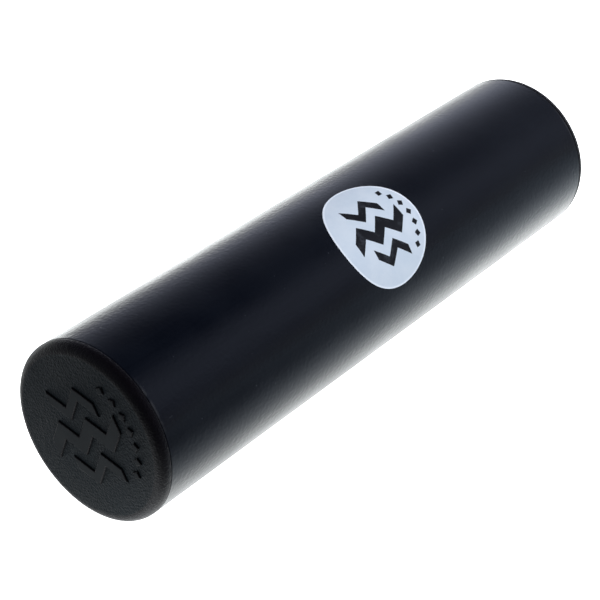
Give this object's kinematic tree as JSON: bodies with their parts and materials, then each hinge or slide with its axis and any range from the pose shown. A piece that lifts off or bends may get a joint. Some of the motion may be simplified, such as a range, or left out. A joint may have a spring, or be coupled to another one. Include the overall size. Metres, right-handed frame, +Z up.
{
  "type": "ganza shaker",
  "caption": "Black tubular metal shaker closed by moulded plastic caps with rolled rims, with a round pale label on its side and loose steel shot inside.",
  "frame": {"origin": "under the middle of the tube, on the surface that the shaker lies on", "axes": "+X along the tube from the near cap to the far cap, +Z up, -Y the side that the label faces"},
  "size_m": [0.236, 0.06, 0.0601],
  "materials": {
    "tube_coat": "satin",
    "cap_plastic": "matte",
    "label_vinyl": "gloss",
    "shot_steel": "satin"
  },
  "bodies": {
    "shell": {"tube": "tube_coat", "near_cap": "cap_plastic", "far_cap": "cap_plastic", "label": "label_vinyl"},
    "shot_bed": {"shot_bed": "shot_steel"},
    "shot_row_01": {"shot_row_01": "shot_steel"},
    "shot_row_02": {"shot_row_02": "shot_steel"},
    "shot_row_03": {"shot_row_03": "shot_steel"},
    "shot_row_04": {"shot_row_04": "shot_steel"},
    "shot_row_05": {"shot_row_05": "shot_steel"},
    "shot_row_06": {"shot_row_06": "shot_steel"},
    "shot_row_07": {"shot_row_07": "shot_steel"},
    "shot_row_08": {"shot_row_08": "shot_steel"},
    "shot_row_09": {"shot_row_09": "shot_steel"},
    "shot_row_10": {"shot_row_10": "shot_steel"},
    "shot_row_11": {"shot_row_11": "shot_steel"},
    "shot_row_12": {"shot_row_12": "shot_steel"},
    "shot_row_13": {"shot_row_13": "shot_steel"},
    "shot_row_14": {"shot_row_14": "shot_steel"},
    "shot_row_15": {"shot_row_15": "shot_steel"}
  },
  "joints": [
    {"name": "shot_swing", "type": "hinge", "parent": "shell", "child": "shot_bed", "pos_m": [0, 0, 0.03], "axis": [1, 0, 0], "continuous": true},
    {"name": "row_01_slide", "type": "slide", "parent": "shot_bed", "child": "shot_row_01", "axis": [1, 0, 0], "range_m": [-0.0745, 0.0745]},
    {"name": "row_02_slide", "type": "slide", "parent": "shot_bed", "child": "shot_row_02", "axis": [1, 0, 0], "range_m": [-0.0745, 0.0745]},
    {"name": "row_03_slide", "type": "slide", "parent": "shot_bed", "child": "shot_row_03", "axis": [1, 0, 0], "range_m": [-0.0745, 0.0745]},
    {"name": "row_04_slide", "type": "slide", "parent": "shot_bed", "child": "shot_row_04", "axis": [1, 0, 0], "range_m": [-0.0745, 0.0745]},
    {"name": "row_05_slide", "type": "slide", "parent": "shot_bed", "child": "shot_row_05", "axis": [1, 0, 0], "range_m": [-0.0745, 0.0745]},
    {"name": "row_06_slide", "type": "slide", "parent": "shot_bed", "child": "shot_row_06", "axis": [1, 0, 0], "range_m": [-0.0745, 0.0745]},
    {"name": "row_07_slide", "type": "slide", "parent": "shot_bed", "child": "shot_row_07", "axis": [1, 0, 0], "range_m": [-0.0863, 0.0863]},
    {"name": "row_08_slide", "type": "slide", "parent": "shot_bed", "child": "shot_row_08", "axis": [1, 0, 0], "range_m": [-0.0863, 0.0863]},
    {"name": "row_09_slide", "type": "slide", "parent": "shot_bed", "child": "shot_row_09", "axis": [1, 0, 0], "range_m": [-0.0863, 0.0863]},
    {"name": "row_10_slide", "type": "slide", "parent": "shot_bed", "child": "shot_row_10", "axis": [1, 0, 0], "range_m": [-0.0863, 0.0863]},
    {"name": "row_11_slide", "type": "slide", "parent": "shot_bed", "child": "shot_row_11", "axis": [1, 0, 0], "range_m": [-0.0863, 0.0863]},
    {"name": "row_12_slide", "type": "slide", "parent": "shot_bed", "child": "shot_row_12", "axis": [1, 0, 0], "range_m": [-0.0863, 0.0863]},
    {"name": "row_13_slide", "type": "slide", "parent": "shot_bed", "child": "shot_row_13", "axis": [1, 0, 0], "range_m": [-0.0863, 0.0863]},
    {"name": "row_14_slide", "type": "slide", "parent": "shot_bed", "child": "shot_row_14", "axis": [1, 0, 0], "range_m": [-0.0863, 0.0863]},
    {"name": "row_15_slide", "type": "slide", "parent": "shot_bed", "child": "shot_row_15", "axis": [1, 0, 0], "range_m": [-0.0863, 0.0863]}
  ]
}
